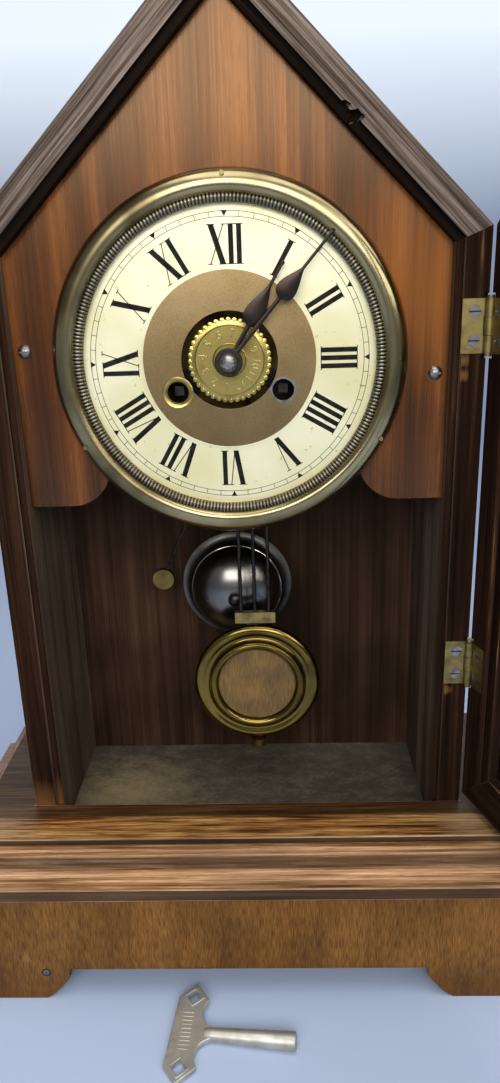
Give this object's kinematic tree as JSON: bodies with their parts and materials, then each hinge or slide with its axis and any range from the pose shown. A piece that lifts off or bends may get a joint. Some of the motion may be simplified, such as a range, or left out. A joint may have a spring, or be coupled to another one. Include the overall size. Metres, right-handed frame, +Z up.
{
  "type": "mantel clock",
  "caption": "Peaked wooden mantel clock with a glazed swinging door, bezelled dial with alarm disc, bell and hammer, short pendulum, spring movement and moulded plinth.",
  "frame": {"origin": "on the table, under the middle of the rear plinth rail", "axes": "+X to the clock's right as seen from the front, +Y from front to back, +Z up"},
  "size_m": [0.3302, 0.2844, 0.4515],
  "materials": {
    "dark_wood": "weathered dark varnish",
    "plinth_wood": "worn yellow-brown varnish",
    "moulding_wood": "streaked rosewood veneer, worn",
    "dial_board_wood": "glossy red-brown varnish",
    "inner_wood": "dark stain",
    "floor_paper": "dusty grey",
    "dial_paint": "silvered cream, satin",
    "dial_gilt": "matte brown gilt",
    "bezel_brass": "spun and lacquered",
    "aged_brass": "tarnished",
    "movement_brass": "bare",
    "blued_steel": "blued",
    "steel": "dull",
    "nickel": "worn nickel plate",
    "label_paper": "aged paper",
    "door_glass": "clear"
  },
  "bodies": {
    "root": {"wall_left": "dark_wood", "wall_right": "dark_wood", "roof_left": "dark_wood", "roof_right": "dark_wood", "plinth_front": "plinth_wood", "plinth_sides": "plinth_wood", "plinth_back": "plinth_wood", "base_moulding": "moulding_wood", "dial_board": "dial_board_wood", "base_board": "inner_wood", "back_board": "inner_wood", "dial_cleats": "inner_wood", "movement_feet": "inner_wood", "floor_panel": "floor_paper", "dial_plate": "dial_paint", "dial_centre": "dial_gilt", "bezel": "bezel_brass", "rope_ring": "bezel_brass", "winding_grommet": "aged_brass", "hinge_case_leaves": "aged_brass", "hinge_pins": "aged_brass", "front_plate": "movement_brass", "back_plate": "movement_brass", "plate_pillars": "movement_brass", "suspension_cock": "movement_brass", "dial_fixings": "steel", "pillar_nuts": "steel", "bell_post": "steel", "case_screws": "steel", "bell": "nickel"},
    "door": {"door_frame": "dark_wood", "door_glass": "door_glass", "glazing_beads": "dark_wood", "hinge_door_leaves": "aged_brass", "door_screws": "steel"},
    "hook": {"door_hook": "aged_brass"},
    "centre": {"centre_arbor": "movement_brass", "minute_hand": "blued_steel", "hand_nut": "steel"},
    "hour": {"hour_wheel": "movement_brass", "hour_hand": "blued_steel"},
    "alarm_setting": {"alarm_disc": "aged_brass"},
    "minute_wheel": {"minute_wheel": "movement_brass"},
    "third_wheel": {"third_wheel": "movement_brass"},
    "escape_wheel": {"escape_wheel": "movement_brass"},
    "anchor": {"anchor": "steel"},
    "pendulum": {"suspension_spring": "steel", "pendulum_rods": "aged_brass", "pendulum_bob": "aged_brass", "bob_label": "label_paper", "rating_nut": "aged_brass"},
    "time_barrel": {"time_barrel": "movement_brass"},
    "time_winder": {"time_winder": "steel"},
    "time_click": {"time_click": "movement_brass"},
    "alarm_barrel": {"alarm_barrel": "movement_brass"},
    "alarm_winder": {"alarm_winder": "steel"},
    "alarm_click": {"alarm_click": "movement_brass"},
    "alarm_wheel": {"alarm_wheel": "movement_brass"},
    "hammer": {"hammer": "aged_brass"},
    "key": {"winding_key": "nickel"}
  },
  "joints": [
    {"name": "door_swing", "type": "hinge", "parent": "root", "child": "door", "pos_m": [0.1055, -0.0774, 0.2], "axis": [0, 0, 1], "range_deg": [-108, 72]},
    {"name": "hook_turn", "type": "hinge", "parent": "root", "child": "hook", "pos_m": [-0.1061, -0.06503, 0.22044], "axis": [-1, 0, 0], "range_deg": [0, 90]},
    {"name": "centre_turn", "type": "hinge", "parent": "root", "child": "centre", "pos_m": [0, -0.053, 0.297], "axis": [0, 1, 0], "continuous": true},
    {"name": "hour_turn", "type": "hinge", "parent": "root", "child": "hour", "pos_m": [0, -0.053, 0.297], "axis": [0, 1, 0], "continuous": true},
    {"name": "alarm_set", "type": "hinge", "parent": "hour", "child": "alarm_setting", "pos_m": [0, -0.053, 0.297], "axis": [0, 1, 0], "continuous": true},
    {"name": "minute_wheel_turn", "type": "hinge", "parent": "root", "child": "minute_wheel", "pos_m": [-0.00848, -0.049, 0.30549], "axis": [0, 1, 0], "continuous": true},
    {"name": "third_wheel_turn", "type": "hinge", "parent": "root", "child": "third_wheel", "pos_m": [-0.00824, -0.032, 0.3174], "axis": [0, 1, 0], "continuous": true},
    {"name": "escape_wheel_turn", "type": "hinge", "parent": "root", "child": "escape_wheel", "pos_m": [0.00696, -0.032, 0.32617], "axis": [0, 1, 0], "continuous": true},
    {"name": "anchor_swing", "type": "hinge", "parent": "root", "child": "anchor", "pos_m": [0.00696, -0.053, 0.34497], "axis": [0, 1, 0], "range_deg": [-3, 3]},
    {"name": "pendulum_swing", "type": "hinge", "parent": "root", "child": "pendulum", "pos_m": [0.00696, -0.053, 0.34497], "axis": [0, 1, 0], "range_deg": [-3, 3]},
    {"name": "time_barrel_turn", "type": "hinge", "parent": "root", "child": "time_barrel", "pos_m": [0.02242, -0.032, 0.28431], "axis": [0, 1, 0], "continuous": true},
    {"name": "time_winding", "type": "hinge", "parent": "root", "child": "time_winder", "pos_m": [0.02242, -0.032, 0.28431], "axis": [0, 1, 0], "continuous": true},
    {"name": "time_click_lift", "type": "hinge", "parent": "root", "child": "time_click", "pos_m": [0.03392, -0.047, 0.29231], "axis": [0, 1, 0], "range_deg": [0, 15]},
    {"name": "alarm_barrel_turn", "type": "hinge", "parent": "root", "child": "alarm_barrel", "pos_m": [-0.02242, -0.032, 0.28431], "axis": [0, 1, 0], "continuous": true},
    {"name": "alarm_winding", "type": "hinge", "parent": "root", "child": "alarm_winder", "pos_m": [-0.02242, -0.032, 0.28431], "axis": [0, 1, 0], "continuous": true},
    {"name": "alarm_click_lift", "type": "hinge", "parent": "root", "child": "alarm_click", "pos_m": [-0.03392, -0.047, 0.29231], "axis": [0, -1, 0], "range_deg": [0, 15]},
    {"name": "alarm_wheel_turn", "type": "hinge", "parent": "root", "child": "alarm_wheel", "pos_m": [-0.01361, -0.032, 0.26011], "axis": [0, 1, 0], "continuous": true},
    {"name": "hammer_swing", "type": "hinge", "parent": "root", "child": "hammer", "pos_m": [-0.01301, -0.032, 0.24451], "axis": [0, 1, 0], "range_deg": [-3.6, 12]},
    {"name": "key_lift", "type": "slide", "parent": "root", "child": "key", "axis": [0, -0.6, 0.8], "range_m": [0, 0.15]}
  ],
  "couplings": [
    {"joint": "time_barrel_turn", "follows": "centre_turn", "ratio": -0.11111},
    {"joint": "third_wheel_turn", "follows": "centre_turn", "ratio": -10},
    {"joint": "escape_wheel_turn", "follows": "centre_turn", "ratio": 120},
    {"joint": "minute_wheel_turn", "follows": "centre_turn", "ratio": -0.33333},
    {"joint": "hour_turn", "follows": "centre_turn", "ratio": 0.083333},
    {"joint": "anchor_swing", "follows": "pendulum_swing", "ratio": 1},
    {"joint": "alarm_wheel_turn", "follows": "alarm_barrel_turn", "ratio": -9}
  ]
}
